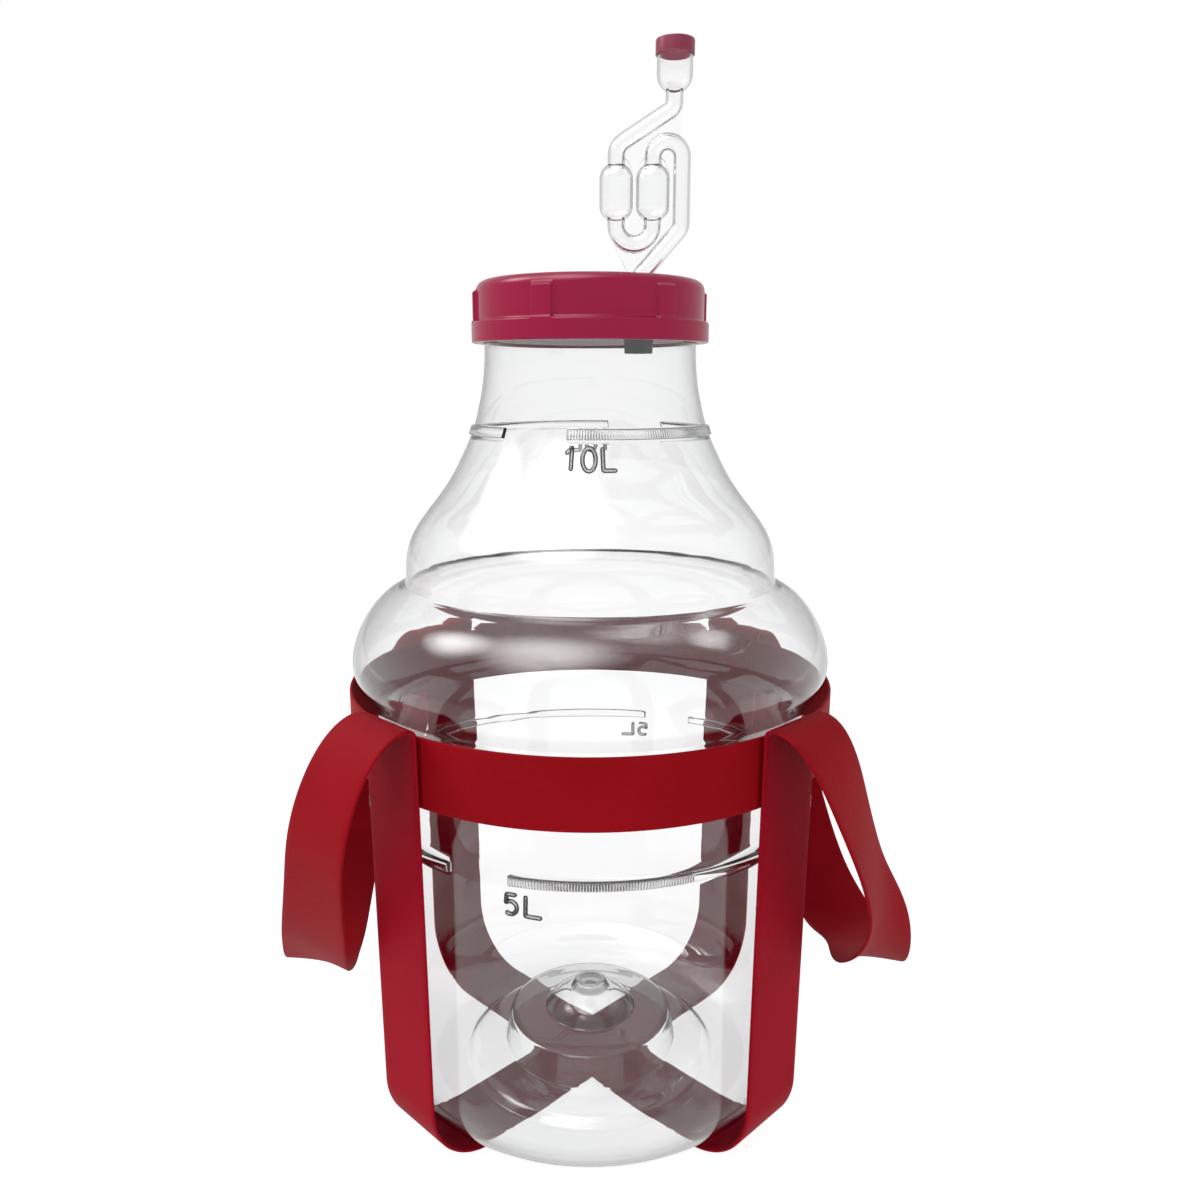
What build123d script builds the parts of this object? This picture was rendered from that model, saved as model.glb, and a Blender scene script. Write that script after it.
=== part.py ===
from build123d import *
import os
from math import cos, sin, radians

# Fermentation jar with airlock: a clear blown jar in a webbing carrying harness,
# with a screw lid, a rubber bung and a two-bulb airlock.
# Millimetres. The origin is on the jar's axis, in the plane that the jar stands on.
# +Z is up, and -Y is the side on which the level marks are read.

# Harness webbing
web_thick = 1.5
strap_width = 36.0
belt_height = 31.0
belt_low_height = 175.8
belt_gap = 0.6
strap_gap = 0.6
strap_lean = 2.4
strap_overlap = 3.7
strap_heel_radius = 34.0
strap_angle = 45.0
cross_gap = 0.2
cross_ramp = 16.0
cross_bend = 12.0
fold_radius = 3.0

# Carrying handles, as the webbing hangs from its folds
handle_reach = 56.0
handle_drop = 157.5
handle_end_pull = 1.0
handle_gap = 0.3

# Jar, with heights measured from the face of its foot
heel_radius = 33.0
foot_width = 10.0
barrel_radius = 107.6
barrel_height = 158.0
waist_radius = 101.8
waist_height = 190.0
bulge_radius = 113.5
bulge_height = 217.0
crease_radius = 87.6
crease_height = 254.8
shoulder_radius = 87.4
shoulder_height = 262.0
neck_radius = 48.4
neck_start_height = 358.0
jar_wall = 1.2

# Push-up in the middle of the jar's foot
step_radius = 43.5
step_low_height = 6.5
step_top_radius = 41.0
step_height = 22.0
dome_radius = 22.5
dome_rise = 1.5
nub_foot_radius = 9.0
nub_foot_height = 34.5
nub_radius = 7.0
nub_height = 38.5

# Level ribs round the jar
rib_height = 4.2
rib_proud = 1.4
rib_root = 0.4
low_rib_height = 149.1
low_rib_sweep = 165.0
low_rib_end_angle = -18.0
high_rib_height = 325.4
high_rib_radius = 54.2
high_rib_root = 0.9
high_rib_sweep = 148.0
high_rib_end_angle = -10.0

# Lid
lid_low_height = 364.0
lid_height = 27.0
lid_radius = 51.8
lid_plate = 2.4
lid_skirt = 2.2
lid_corner = 4.5
collar_radius = 54.1
collar_height = 9.0
collar_round = 0.9
lug_count = 6
lug_proud = 1.7
lug_width = 9.4
lug_height = 13.5
lug_root = 1.0
lug_round = 0.7
lug_first_angle = -22.5
socket_wall = 2.0
socket_depth = 9.0

# Rim seal and plug ring under the lid
stack_gap = 0.1
seal_thick = 1.3
seal_gap = 0.3
plug_flange = 1.3
plug_wall = 1.4
plug_tip_radius = 43.0
plug_tip_rise = 1.0
plug_gap = 0.4

# Bung
bung_offset = 22.2
bung_rise = 0.5
bung_drop = 4.4
bung_top_radius = 8.2
bung_tip_radius = 6.4
bung_fit = 0.06
bung_round = 0.6

# Airlock, with heights measured from the lid's top face and offsets from its stem
tube_radius = 3.85
tube_wall = 1.15
stem_depth = 26.0
stem_fit = 0.05
stem_bend_height = 2.4
short_bend_radius = 4.6
leg_offset = 18.5
leg_low_height = 23.4
leg_bend_radius = 6.5
leg_top_height = 53.0
return_radius = 6.4
bulb_pitch = 16.3
bulb_radius = 7.45
bulb_wall = 1.0
bulb_length = 24.2
bulb_low_height = 26.2
trap_arc_height = 24.6
bulb_round_share = 0.86
oblique_low_height = 57.5
oblique_high_height = 73.3
oblique_bend_radius = 7.0
cup_offset = 14.7
cup_radius = 7.85
cup_wall = 0.9
cup_low_height = 79.6
cup_length = 20.0
cup_round_share = 0.9
gusset_thick = 1.0
gusset_toe_offset = 5.0
gusset_toe_height = 3.4
gusset_heel_offset = 11.3
gusset_heel_height = 15.7
gusset_high_offset = 18.3

# Airlock cap
cap_wall = 0.6
cap_gap = 0.1
cap_top = 1.0
cap_skirt = 5.0
cap_round = 0.6

# Running values
overrun = 1.0
foot_level = web_thick
lid_top = foot_level + lid_low_height + lid_height
plate_under = lid_top - lid_plate
lid_bore = lid_radius - lid_skirt
belt_radius = bulge_radius + belt_gap + web_thick
strap_reach = belt_radius + strap_gap + web_thick / 2
strap_top = foot_level + belt_low_height + belt_height + strap_overlap
fold_reach = strap_reach + fold_radius
neck_height = lid_height + lid_low_height - lid_plate - plug_flange - seal_thick - 3 * stack_gap
foot_radius = barrel_radius - heel_radius

# Shares along each bend of the jar's outline: part of the change in radius, then in height
waist_shares = [(0.36, 0.5)]
bulge_shares = [(0.36, 0.40), (0.83, 0.74)]
bulge_top_shares = [(0.05, 0.27), (0.25, 0.57), (0.53, 0.80)]
shoulder_shares = [
    (0.03, 0.09), (0.15, 0.20), (0.37, 0.316), (0.57, 0.43),
    (0.72, 0.544), (0.85, 0.667), (0.92, 0.77), (0.97, 0.87),
]
dome_shares = [(0.48, 0.27), (0.85, 0.68)]
floor_shares = [(0.5, 0.20), (0.83, 0.45)]
heel_steps = 6

# Handle stations from the front fold to the back fold. Shares of the reach outwards,
# of the folds' half span along Y and of the drop, then the webbing's width direction
# as outward, along Y and up.
left_handle_shares = [
    (0.00, -1.00, 0.00, 0.71, 0.71, 0.00),
    (0.41, -1.20, 0.21, 0.71, 0.68, 0.17),
    (0.60, -1.03, 0.58, 0.83, 0.42, 0.37),
    (0.83, -0.62, 0.85, 0.84, 0.20, 0.45),
    (0.99, 0.00, 1.00, 0.99, -0.07, 0.00),
    (0.94, 0.63, 0.84, 0.78, -0.32, 0.50),
    (0.68, 1.05, 0.57, 0.86, -0.33, 0.39),
    (0.46, 1.22, 0.21, 0.81, -0.54, 0.20),
    (0.00, 1.00, 0.00, 0.71, -0.71, 0.00),
]
right_handle_shares = [
    (0.00, -1.00, 0.00, 0.71, 0.71, 0.00),
    (0.37, -1.19, 0.19, 0.52, 0.85, 0.06),
    (0.68, -1.11, 0.56, 0.59, 0.67, 0.45),
    (0.88, -0.66, 0.83, 0.76, 0.27, 0.59),
    (0.95, -0.05, 0.96, 0.91, 0.00, -0.36),
    (0.80, 0.65, 0.88, 0.98, 0.20, 0.02),
    (0.61, 1.11, 0.62, 0.99, 0.06, 0.11),
    (0.47, 1.26, 0.23, 0.85, -0.50, 0.17),
    (0.00, 1.00, 0.00, 0.71, -0.71, 0.00),
]

os.makedirs("parts", exist_ok=True)


def ring(outer, inner, height):
    """A ring that stands on the XY plane."""
    return extrude(Circle(outer) - Circle(inner), height)


def turned(outline):
    """The solid that an outline of (radius, height) points sweeps about Z."""
    points = [(radius, 0, height) for radius, height in outline]
    return revolve(make_face(Polyline(*points, close=True).edges()), Axis.Z)


def bend(start, end, shares):
    """Points of a bend between two (radius, height) points, both ends included."""
    run = end[0] - start[0]
    rise = end[1] - start[1]
    middle = [(start[0] + run * u, start[1] + rise * v) for u, v in shares]
    return [start, *middle, end]


def inset(points, depth):
    """The same outline moved inwards by depth, square to its own run."""
    moved = []
    for i, (radius, height) in enumerate(points):
        before = points[max(i - 1, 0)]
        after = points[min(i + 1, len(points) - 1)]
        run = Vector(after[0] - before[0], after[1] - before[1]).normalized()
        moved.append((max(radius - run.Y * depth, 0), height + run.X * depth))
    return moved


def jar_stretches():
    """The jar's outer outline from the push-up's top to the rim, as (kind, points)."""
    foot_inner = foot_radius - foot_width
    turns = [radians(90) * i / heel_steps for i in range(heel_steps + 1)]
    heel = [
        (foot_radius + heel_radius * sin(turn), heel_radius * (1 - cos(turn))) for turn in turns
    ]
    dome_foot = (dome_radius, step_height + dome_rise)
    step_foot = (step_radius, step_low_height)
    barrel = (barrel_radius, barrel_height)
    waist = (waist_radius, waist_height)
    bulge = (bulge_radius, bulge_height)
    crease = (crease_radius, crease_height)
    shoulder = (shoulder_radius, shoulder_height)
    neck = (neck_radius, neck_start_height)
    return [
        (Polyline, [(0, nub_height), (nub_radius, nub_height), (nub_foot_radius, nub_foot_height)]),
        (Spline, bend((nub_foot_radius, nub_foot_height), dome_foot, dome_shares)),
        (Polyline, [dome_foot, (step_top_radius, step_height), step_foot]),
        (Spline, bend(step_foot, (foot_inner, 0), floor_shares)),
        (Polyline, [(foot_inner, 0), (foot_radius, 0)]),
        (Spline, heel),
        (Polyline, [heel[-1], barrel]),
        (Spline, [*bend(barrel, waist, waist_shares), *bend(waist, bulge, bulge_shares)[1:],
                  *bend(bulge, crease, bulge_top_shares)[1:]]),
        (Polyline, [crease, shoulder]),
        (Spline, bend(shoulder, neck, shoulder_shares)),
        (Polyline, [neck, (neck_radius, neck_height)]),
    ]


def outline_edges(depth):
    """Edges of the jar's outline, moved inwards by depth."""
    stretches = jar_stretches()
    joined = [stretches[0][1][0]]
    for kind, points in stretches:
        joined += points[1:]
    moved = inset(joined, depth)
    edges = []
    first = 0
    for kind, points in stretches:
        last = first + len(points) - 1
        line = kind(*[(radius, 0, height) for radius, height in moved[first:last + 1]])
        edges += line.edges()
        first = last
    return edges


def level_rib(radius, root, height, end_angle, sweep):
    """Two square-ended ribs opposite each other, read from the -Y side."""
    outer = radius + rib_proud
    low = height - rib_height / 2
    points = [(radius - root, 0, low), (outer, 0, low), (outer, 0, low + rib_height),
              (radius - root, 0, low + rib_height)]
    section = make_face(Polyline(*points, close=True).edges())
    rib = revolve(section, Axis.Z, sweep)
    first = Rot(0, 0, end_angle - 90) * rib
    return first + Rot(0, 0, 180) * first


def make_vessel():
    """The blown jar: one thin wall from the push-up to the rim, with its level ribs."""
    outer = outline_edges(0)
    inner = outline_edges(jar_wall)
    top = Line(outer[-1] @ 1, inner[-1] @ 1)
    axis = Line(outer[0] @ 0, inner[0] @ 0)
    shell = revolve(make_face([*outer, top.edge(), *inner, axis.edge()]), Axis.Z)
    low = level_rib(barrel_radius, rib_root, low_rib_height, low_rib_end_angle, low_rib_sweep)
    high = level_rib(high_rib_radius, high_rib_root, high_rib_height, high_rib_end_angle,
                     high_rib_sweep)
    return Pos(0, 0, foot_level) * (shell + low + high)


def bung_cone(growth):
    """The bung's tapered body, grown all round."""
    low = foot_level + lid_low_height - bung_drop
    high = lid_top + bung_rise
    outline = [(0, low), (bung_tip_radius + growth, low), (bung_top_radius + growth, high), (0, high)]
    return Pos(bung_offset, 0, 0) * turned(outline)


def make_lid():
    """Screw lid: crown, collar, grip lugs, skirt and the bung's socket under the plate."""
    crown = extrude(Circle(lid_radius), lid_height)
    crown = fillet(crown.edges().sort_by(Axis.Z)[-1], lid_corner)
    collar = extrude(Circle(collar_radius), collar_height)
    collar = fillet(collar.edges().sort_by(Axis.Z)[-1], collar_round)
    lug_depth = lug_root + lug_proud
    lug = Box(lug_depth, lug_width, lug_height + collar_round,
              align=(Align.MIN, Align.CENTER, Align.MIN))
    top_edges = lug.faces().sort_by(Axis.Z)[-1].edges().group_by(Axis.X)[-1]
    lug = fillet(lug.edges().filter_by(Axis.Z).group_by(Axis.X)[-1] + top_edges, lug_round)
    seat = Pos(lid_radius - lug_root, 0, collar_height - collar_round)
    lugs = [Rot(0, 0, lug_first_angle - 90 + i * 360 / lug_count) * seat * lug
            for i in range(lug_count)]
    bore = extrude(Circle(lid_bore), lid_height - lid_plate)
    socket = Pos(bung_offset, 0, lid_height - lid_plate - socket_depth) * extrude(
        Circle(bung_top_radius + socket_wall), socket_depth)
    shell = crown + collar + lugs - bore + socket
    placed = Pos(0, 0, foot_level + lid_low_height) * shell
    return placed - bung_cone(bung_fit)


def make_lid_insert():
    """Plug ring: a flange on the rim seal and a tapered wall that reaches down the neck."""
    top = plate_under - stack_gap
    low = foot_level + lid_low_height + plug_tip_rise
    wall_top = neck_radius - jar_wall - plug_gap
    return turned([
        (wall_top - plug_wall, top), (neck_radius, top), (neck_radius, top - plug_flange),
        (wall_top, top - plug_flange), (plug_tip_radius, low), (plug_tip_radius - plug_wall, low),
    ])


def make_rim_seal():
    """Flat rubber ring between the jar's rim and the plug ring's flange."""
    inner = neck_radius - jar_wall - plug_gap + seal_gap
    low = foot_level + neck_height + stack_gap
    return Pos(0, 0, low) * ring(lid_bore - seal_gap, inner, seal_thick)


def make_bung():
    """Tapered rubber bung with the bore that grips the airlock's stem."""
    low = foot_level + lid_low_height - bung_drop
    body = bung_cone(0)
    body = fillet(body.edges().sort_by(Axis.Z)[-1], bung_round)
    bore = extrude(Circle(tube_radius + stem_fit), lid_top + bung_rise - low + 2 * overrun)
    return body - Pos(bung_offset, 0, low - overrun) * bore


def airlock_path():
    """The airlock's centre line, from the stem's foot to the cup, in its own XZ plane."""
    right_bulb = leg_offset - 2 * return_radius
    left_bulb = right_bulb - bulb_pitch
    trap_radius = bulb_pitch / 2
    stem = FilletPolyline(
        (0, 0, -stem_depth), (0, 0, stem_bend_height), (leg_offset, 0, leg_low_height),
        (leg_offset, 0, leg_top_height), radius=[short_bend_radius, leg_bend_radius])
    over = ThreePointArc(
        (leg_offset, 0, leg_top_height),
        (leg_offset - return_radius, 0, leg_top_height + return_radius),
        (right_bulb, 0, leg_top_height))
    down = Line((right_bulb, 0, leg_top_height), (right_bulb, 0, trap_arc_height))
    trap = ThreePointArc(
        (right_bulb, 0, trap_arc_height),
        (right_bulb - trap_radius, 0, trap_arc_height - trap_radius),
        (left_bulb, 0, trap_arc_height))
    up = FilletPolyline(
        (left_bulb, 0, trap_arc_height), (left_bulb, 0, oblique_low_height),
        (cup_offset, 0, oblique_high_height), (cup_offset, 0, cup_low_height + cup_wall),
        radius=[oblique_bend_radius, short_bend_radius])
    return Wire([*stem.edges(), *over.edges(), *down.edges(), *trap.edges(), *up.edges()])


def airlock_body(depth):
    """The airlock's filled shape, with every surface moved inwards by depth of its wall."""
    path = airlock_path()
    start = Plane(origin=path @ 0, z_dir=path % 0)
    tube = sweep(start * Circle(tube_radius - tube_wall * depth), path)
    right_bulb = leg_offset - 2 * return_radius
    bulb_size = bulb_radius - bulb_wall * depth
    bulb = Pos(0, 0, bulb_wall * depth) * extrude(
        Circle(bulb_size), bulb_length - 2 * bulb_wall * depth)
    bulb = fillet(bulb.edges().filter_by(GeomType.CIRCLE), bulb_size * bulb_round_share)
    cup_size = cup_radius - cup_wall * depth
    cup = Pos(cup_offset, 0, cup_low_height + cup_wall * depth) * extrude(
        Circle(cup_size), cup_length + overrun * depth)
    cup = fillet(cup.edges().sort_by(Axis.Z)[0], cup_size * cup_round_share)
    bulbs = [Pos(right_bulb - bulb_pitch * i, 0, bulb_low_height) * bulb for i in range(2)]
    return tube + bulbs + cup


def gusset():
    """The moulded plate that joins the airlock's tubes in their common plane."""
    left_bulb = leg_offset - 2 * return_radius - bulb_pitch
    points = [
        (0, 0, gusset_toe_height), (-gusset_toe_offset, 0, gusset_toe_height),
        (-gusset_heel_offset, 0, gusset_heel_height), (left_bulb, 0, trap_arc_height),
        (left_bulb, 0, oblique_low_height), (cup_offset, 0, oblique_high_height),
        (gusset_high_offset, 0, oblique_high_height), (gusset_high_offset, 0, leg_top_height),
        (leg_offset, 0, leg_low_height),
    ]
    plate = make_face(Polyline(*points, close=True).edges())
    return extrude(plate, gusset_thick / 2, both=True)


def make_airlock():
    """Two-bulb airlock: stem, traps, cup and gusset in one clear moulding."""
    bore = airlock_body(1) + Pos(0, 0, -stem_depth - overrun) * extrude(
        Circle(tube_radius - tube_wall), 2 * overrun)
    body = airlock_body(0) + gusset() - bore
    return Pos(bung_offset, 0, lid_top) * body


def make_airlock_cap():
    """Loose dust cap over the airlock's cup."""
    inner = cup_radius + cap_gap
    cup_top = lid_top + cup_low_height + cup_length
    cap = extrude(Circle(inner + cap_wall), cap_skirt + cap_gap + cap_top)
    cap = fillet(cap.edges().sort_by(Axis.Z)[-1], cap_round)
    cap -= extrude(Circle(inner), cap_skirt + cap_gap)
    return Pos(bung_offset + cup_offset, 0, cup_top - cap_skirt) * cap


def make_belt():
    """The harness's belt, which stands round the jar's waist."""
    level = foot_level + belt_low_height
    return Pos(0, 0, level) * ring(belt_radius, belt_radius - web_thick, belt_height)


def make_strap(angle, lift):
    """A strap from fold to fold under the jar; lift raises it over the strap it crosses."""
    low = web_thick / 2
    heel = strap_reach - strap_lean
    flat = strap_width / 2 + web_thick
    half = [(fold_reach, 0, strap_top), (strap_reach, 0, strap_top), (heel, 0, low)]
    radii = [fold_radius, strap_heel_radius]
    if lift:
        half += [(flat + cross_ramp, 0, low), (flat, 0, low + lift)]
        radii += [cross_bend, cross_bend]
    other = [(-x, y, z) for x, y, z in reversed(half)]
    path = FilletPolyline(*half, *other, radius=[*radii, *reversed(radii)])
    start = Plane(origin=path @ 0, z_dir=path % 0, x_dir=(0, 1, 0))
    return Rot(0, 0, angle) * sweep(start * Rectangle(strap_width, web_thick), path)


def make_handle(side, stations):
    """A hanging handle: webbing ruled between its two edges. side is -1 left, +1 right."""
    span = fold_reach * sin(radians(strap_angle))
    root = span + handle_gap / cos(radians(strap_angle))
    inner = []
    outer = []
    for reach, along, drop, out_way, along_way, up_way in stations:
        middle = Vector(side * (root + handle_reach * reach), span * along,
                        strap_top - handle_drop * drop)
        across = Vector(side * out_way, along_way, up_way).normalized() * strap_width / 2
        inner.append(middle - across)
        outer.append(middle + across)
    away = Vector(side, -1, 0).normalized()
    back = Vector(-side, -1, 0).normalized()
    pulls = [handle_end_pull, handle_end_pull]
    edges = [Spline(*points, tangents=[away, back], tangent_scalars=pulls).edge()
             for points in (inner, outer)]
    surface = Face.make_surface_from_curves(*edges)
    return Solid.thicken(surface, web_thick / 2) + Solid.thicken(surface, -web_thick / 2)


parts = {
    "vessel": make_vessel(),
    "belt": make_belt(),
    "strap_lower": make_strap(strap_angle, 0),
    "strap_upper": make_strap(-strap_angle, web_thick + cross_gap),
    "handle_left": make_handle(-1, left_handle_shares),
    "handle_right": make_handle(1, right_handle_shares),
    "rim_seal": make_rim_seal(),
    "lid_insert": make_lid_insert(),
    "lid": make_lid(),
    "bung": make_bung(),
    "airlock": make_airlock(),
    "airlock_cap": make_airlock_cap(),
}

for name, shape in parts.items():
    export_step(shape, f"parts/{name}.step")
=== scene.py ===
"""Fermentation jar with airlock: the blown jar, its webbing harness, its screw lid and its bulb airlock.

Sizes are typed in millimetres and turned into metres where a mesh is made. The jar's axis is Z,
the level marks are read from -Y and the jar stands on z = 0.
"""

import math

import bpy
import numpy as np
from mathutils import Euler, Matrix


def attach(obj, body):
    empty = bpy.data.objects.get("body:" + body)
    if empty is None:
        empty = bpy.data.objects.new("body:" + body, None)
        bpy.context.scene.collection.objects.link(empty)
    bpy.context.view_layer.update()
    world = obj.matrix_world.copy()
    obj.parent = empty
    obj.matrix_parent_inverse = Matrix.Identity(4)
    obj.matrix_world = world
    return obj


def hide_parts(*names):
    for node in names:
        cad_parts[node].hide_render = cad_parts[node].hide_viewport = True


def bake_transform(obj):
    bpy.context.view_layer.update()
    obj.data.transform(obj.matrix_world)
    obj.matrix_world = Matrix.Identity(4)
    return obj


MM = 0.001
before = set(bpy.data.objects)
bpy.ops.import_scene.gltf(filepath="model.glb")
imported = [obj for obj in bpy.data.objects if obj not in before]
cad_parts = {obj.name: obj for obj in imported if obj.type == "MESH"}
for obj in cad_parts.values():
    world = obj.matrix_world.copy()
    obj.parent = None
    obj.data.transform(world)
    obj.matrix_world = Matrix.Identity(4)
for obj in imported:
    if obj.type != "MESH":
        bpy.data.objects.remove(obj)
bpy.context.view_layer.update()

FOOT = 1.5           # the jar's foot, on the webbing
WALL = 1.2           # the jar's wall
RIM = 387.2          # the jar's rim
LID_LOW = 365.5      # the lid's foot
LID_TOP = 392.5
BUNG_AT = 22.2       # the bung's and the airlock's place along X
PITCH = 6.0          # rise of the lid's thread for each turn
WEB = 1.5            # webbing thickness
STRAP = 36.0         # strap and handle width
BELT = 31.0          # belt width
FOLD_TOP = 212.0     # mid surface of the straps' folds
FOLD_REACH = 119.95  # the folds' distance from the axis


# Curves and grids

def unit(v):
    """Each row divided by its own length."""
    return v / np.maximum(np.linalg.norm(v, axis=-1, keepdims=True), 1e-12)


def cubic(points, count, ends=None):
    """A cubic spline through points, by chord length, sampled at count even steps.

    On each span p = h00 a + h10 L s + h01 b + h11 L t, with the slopes s and t from the
    condition that curvature runs on through each point. ends gives the two end slopes;
    without them the ends carry no curvature.
    """
    p = np.asarray(points, float)
    n = len(p)
    chord = np.linalg.norm(np.diff(p, axis=0), axis=1)
    at = np.concatenate([[0], np.cumsum(chord)])
    m = np.zeros((n, n))
    b = np.zeros_like(p)
    for i in range(1, n - 1):
        m[i, i - 1:i + 2] = chord[i], 2 * (chord[i - 1] + chord[i]), chord[i - 1]
        b[i] = 3 * (chord[i] * (p[i] - p[i - 1]) / chord[i - 1]
                    + chord[i - 1] * (p[i + 1] - p[i]) / chord[i])
    if ends is None:
        m[0, :2] = 2, 1
        m[-1, -2:] = 1, 2
        b[0] = 3 * (p[1] - p[0]) / chord[0]
        b[-1] = 3 * (p[-1] - p[-2]) / chord[-1]
    else:
        m[0, 0] = m[-1, -1] = 1
        b[0], b[-1] = ends
    slope = np.linalg.solve(m, b)
    t = np.linspace(0, at[-1], count)
    k = np.clip(np.searchsorted(at, t, side="right") - 1, 0, n - 2)
    h = chord[k][:, None]
    u = ((t - at[k]) / chord[k])[:, None]
    return ((2 * u ** 3 - 3 * u ** 2 + 1) * p[k] + (u ** 3 - 2 * u ** 2 + u) * h * slope[k]
            + (3 * u ** 2 - 2 * u ** 3) * p[k + 1] + (u ** 3 - u ** 2) * h * slope[k + 1])


def even(points, step):
    """A polyline sampled again at even steps of its length."""
    p = np.asarray(points, float)
    at = np.concatenate([[0], np.cumsum(np.linalg.norm(np.diff(p, axis=0), axis=1))])
    t = np.linspace(0, at[-1], max(int(at[-1] / step), 2) + 1)
    return np.stack([np.interp(t, at, p[:, i]) for i in range(p.shape[1])], axis=1)


def softened(p, width):
    """A polyline whose corners are rounded: a running mean with a bell of that width, ends kept."""
    step = np.linalg.norm(p[1] - p[0])
    reach = int(3 * width / step)
    bell = np.exp(-0.5 * (np.arange(-reach, reach + 1) * step / width) ** 2)
    bell /= bell.sum()
    before = 2 * p[0] - p[reach:0:-1]
    after = 2 * p[-1] - p[-2:-reach - 2:-1]
    full = np.concatenate([before, p, after])
    return np.stack([np.convolve(full[:, i], bell, "valid") for i in range(p.shape[1])], axis=1)


def gathered(p, count, sharp=6.0):
    """count points of a polyline, closer together where it bends: spacing goes as 1 / (0.25 + sharp * turn)."""
    run = np.diff(p, axis=0)
    size = np.linalg.norm(run, axis=1)
    way = unit(run)
    turn = np.zeros(len(size))
    turn[1:] = np.arccos(np.clip((way[1:] * way[:-1]).sum(axis=1), -1, 1)) / size[1:]
    turn = np.convolve(turn, np.ones(9) / 9, "same")
    weight = size * (0.25 + sharp * np.minimum(turn, 0.8))
    at = np.concatenate([[0], np.cumsum(weight)])
    t = np.linspace(0, at[-1], count)
    return np.stack([np.interp(t, at, p[:, i]) for i in range(p.shape[1])], axis=1)


def rounded_route(corners, radii, step=1.0):
    """A flat route through corners, each rounded by an arc of its radius: straight run, arc, straight run."""
    p = np.asarray(corners, float)
    out = [p[0][None]]
    for i, radius in enumerate(radii, start=1):
        a = unit(p[i - 1] - p[i])
        b = unit(p[i + 1] - p[i])
        half = 0.5 * np.arccos(np.clip(a @ b, -1, 1))
        centre = p[i] + unit(a + b) * radius / np.sin(half)
        start = p[i] + a * radius / np.tan(half) - centre
        end = p[i] + b * radius / np.tan(half) - centre
        sweep = np.pi - 2 * half
        t = np.linspace(0, 1, max(int(radius * sweep / step), 8))[:, None]
        out.append(centre + (np.sin((1 - t) * sweep) * start + np.sin(t * sweep) * end) / np.sin(sweep))
    out.append(p[-1][None])
    return even(np.concatenate(out), step)


def mesh_piece(name, points, faces, mat, uvs=None):
    """An object from points in millimetres and quads or triangles, shaded smooth."""
    mesh = bpy.data.meshes.new(name)
    mesh.from_pydata((np.asarray(points) * MM).tolist(), [], [list(f) for f in faces])
    mesh.polygons.foreach_set("use_smooth", np.ones(len(mesh.polygons), bool))
    if uvs is not None:
        layer = mesh.uv_layers.new(name="weave")
        index = np.empty(len(mesh.loops), np.int32)
        mesh.loops.foreach_get("vertex_index", index)
        layer.data.foreach_set("uv", (np.asarray(uvs)[index] * MM).astype(np.float32).ravel())
    mesh.materials.append(mat)
    mesh.update()
    piece = bpy.data.objects.new(name, mesh)
    bpy.context.scene.collection.objects.link(piece)
    return piece


def grid_faces(rows, cols, wrap_rows=False, wrap_cols=False):
    """Quads of a grid of rows by cols points, counted row by row."""
    r = np.arange(rows if wrap_rows else rows - 1)
    c = np.arange(cols if wrap_cols else cols - 1)
    r, c = (x.ravel() for x in np.meshgrid(r, c, indexing="ij"))
    r2, c2 = (r + 1) % rows, (c + 1) % cols
    return np.stack([r * cols + c, r * cols + c2, r2 * cols + c2, r2 * cols + c], axis=1)


def turned(name, radius, height, angles, mat, centre=0.0):
    """A turned piece: point (c + r cos a, r sin a, z), with r and z on a grid of profile by angle.

    radius and height are arrays of rows by angles, and centre is c, for all rows or for each.
    The profile runs closed, or from pole to pole.
    """
    radius = np.broadcast_to(radius, (len(radius), len(angles)))
    height = np.broadcast_to(height, radius.shape)
    x = centre + radius * np.cos(angles)
    y = radius * np.sin(angles)
    points = np.stack([x, y, height], axis=-1)
    rows, cols = radius.shape
    if radius.min() > 1e-6:
        return mesh_piece(name, points.reshape(-1, 3), grid_faces(rows, cols, True, True), mat)
    quads = grid_faces(rows - 2, cols, False, True) + 1
    ring = np.arange(cols)
    last = (rows - 2) * cols + 1
    first_fan = np.stack([np.zeros(cols, int), (ring + 1) % cols + 1, ring + 1], axis=1)
    end = last - cols
    last_fan = np.stack([np.full(cols, last), end + ring, end + (ring + 1) % cols], axis=1)
    flat = np.concatenate([points[0, :1], points[1:-1].reshape(-1, 3), points[-1, :1]])
    faces = quads.tolist() + first_fan.tolist() + last_fan.tolist()
    return mesh_piece(name, flat, faces, mat)


# Jar

RIBS = ((149.1, -18.0, 165.0), (325.4, -10.0, 148.0))  # level over the foot, first angle from -Y, sweep
RIB_PROUD, RIB_HEIGHT = 1.4, 4.2
# the rows of points across a rib, from its level, close together at its edges
RIB_ROWS = np.array([-2.34, -2.24, -2.14, -2.04, -1.9, 1.9, 2.04, 2.14, 2.24, 2.34])
BASE_HIGH = 60.0     # nothing under this height is a rib or a thread


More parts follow.
